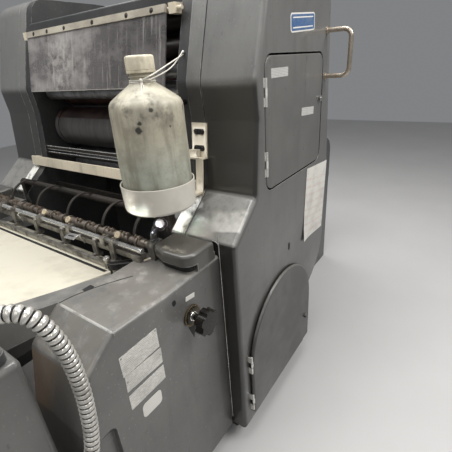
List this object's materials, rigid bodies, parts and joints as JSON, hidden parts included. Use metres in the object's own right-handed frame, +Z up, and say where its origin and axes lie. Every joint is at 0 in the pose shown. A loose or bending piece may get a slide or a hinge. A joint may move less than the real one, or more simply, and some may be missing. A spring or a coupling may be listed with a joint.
{
  "type": "offset printing press",
  "caption": "Small sheet-fed offset printing press with side covers, opening doors, swing guard, geared cylinders, feeder and delivery.",
  "frame": {"origin": "on the floor under the middle of the printing unit, on the base's underside", "axes": "+X the way the paper runs, from feeder to delivery; -Y the operator's side; +Z up"},
  "size_m": [2.4893, 1.494, 1.6],
  "materials": {
    "cast_dark": "dark painted casting, dusty",
    "machine_grey": "grey machine paint, worn and greasy",
    "dark_grey": "dark grey paint",
    "cream_paint": "cream paint, yellowed",
    "roller_rubber": "inked rubber",
    "roller_steel": "ground steel",
    "clear_guard": "clear plastic, scratched and dirty",
    "plate_red": "inked plate",
    "blanket_rubber": "rubber blanket",
    "cup_plastic": "off-white plastic",
    "bottle_plastic": "cloudy plastic, dusty",
    "cap_plastic": "yellowed plastic",
    "knob_black": "black plastic",
    "knob_brown": "dark brown plastic",
    "oily_steel": "oily steel",
    "bright_steel": "bright steel",
    "board_cream": "cream coated board",
    "board_wood": "plywood",
    "hose_grey": "ribbed grey hose"
  },
  "bodies": {
    "press": {"base_frame": "cast_dark", "operator_frame": "cast_dark", "drive_frame": "cast_dark", "operator_cover": "machine_grey", "operator_inner_cover": "machine_grey", "drive_cover": "machine_grey", "drive_inner_cover": "machine_grey", "door_hinges": "bright_steel", "grab_handle": "cream_paint", "top_hood": "dark_grey", "ink_fountain": "dark_grey", "ink_rollers": "roller_rubber", "dampening_rollers": "roller_steel", "guard_hinge": "cream_paint", "cross_bars": "cream_paint", "bottle_bracket": "cream_paint", "bottle_cup": "cup_plastic", "bottle": "bottle_plastic", "bottle_cap": "cap_plastic", "throw_off_lever": "knob_black", "side_lay_housings": "machine_grey", "lay_bar": "bright_steel", "sheet_hoops": "oily_steel", "feed_board": "board_cream", "table_rails": "machine_grey", "infeed_console_operator": "machine_grey", "infeed_console_drive": "machine_grey", "speed_dial": "bright_steel", "feeder_cabinets": "machine_grey", "feeder_pile_board": "board_wood", "suction_head": "machine_grey", "delivery_frames": "dark_grey", "delivery_chain": "oily_steel", "delivery_pile_board": "board_wood", "delivery_guard": "dark_grey", "hose_glands": "dark_grey", "air_hose": "hose_grey"},
    "operator_door": {"operator_door": "machine_grey"},
    "arch_door": {"arch_door": "machine_grey"},
    "guard": {"guard": "clear_guard"},
    "star_knob": {"star_knob": "knob_brown"},
    "plate_cylinder": {"plate_cylinder": "plate_red"},
    "blanket_cylinder": {"blanket_cylinder": "blanket_rubber"},
    "impression_cylinder": {"impression_cylinder": "roller_steel"},
    "forwarding_shaft": {"forwarding_shaft": "oily_steel"}
  },
  "joints": [
    {"name": "operator_door_hinge", "type": "hinge", "parent": "press", "child": "operator_door", "pos_m": [-0.1625, -0.7038, 1.122], "axis": [0, 0, -1], "range_deg": [0, 100]},
    {"name": "arch_door_hinge", "type": "hinge", "parent": "press", "child": "arch_door", "pos_m": [-0.3075, -0.7115, 0.26], "axis": [0, 0, -1], "range_deg": [0, 95]},
    {"name": "guard_swing", "type": "hinge", "parent": "press", "child": "guard", "pos_m": [-0.158, 0, 1.455], "axis": [0, 1, 0], "range_deg": [0, 95]},
    {"name": "knob_turn", "type": "hinge", "parent": "press", "child": "star_knob", "pos_m": [-0.501, -0.68, 0.684], "axis": [0, -1, 0], "continuous": true},
    {"name": "blanket_turn", "type": "hinge", "parent": "press", "child": "blanket_cylinder", "pos_m": [-0.06, 0, 1.08], "axis": [0, 1, 0], "continuous": true},
    {"name": "plate_turn", "type": "hinge", "parent": "press", "child": "plate_cylinder", "pos_m": [0, 0, 1.25], "axis": [0, 1, 0], "continuous": true},
    {"name": "impression_turn", "type": "hinge", "parent": "press", "child": "impression_cylinder", "pos_m": [0, 0, 0.91], "axis": [0, 1, 0], "continuous": true},
    {"name": "forwarding_turn", "type": "hinge", "parent": "press", "child": "forwarding_shaft", "pos_m": [-0.45, 0, 0.832], "axis": [0, 1, 0], "continuous": true}
  ],
  "couplings": [
    {"joint": "plate_turn", "follows": "blanket_turn", "ratio": -1},
    {"joint": "impression_turn", "follows": "blanket_turn", "ratio": -1}
  ]
}
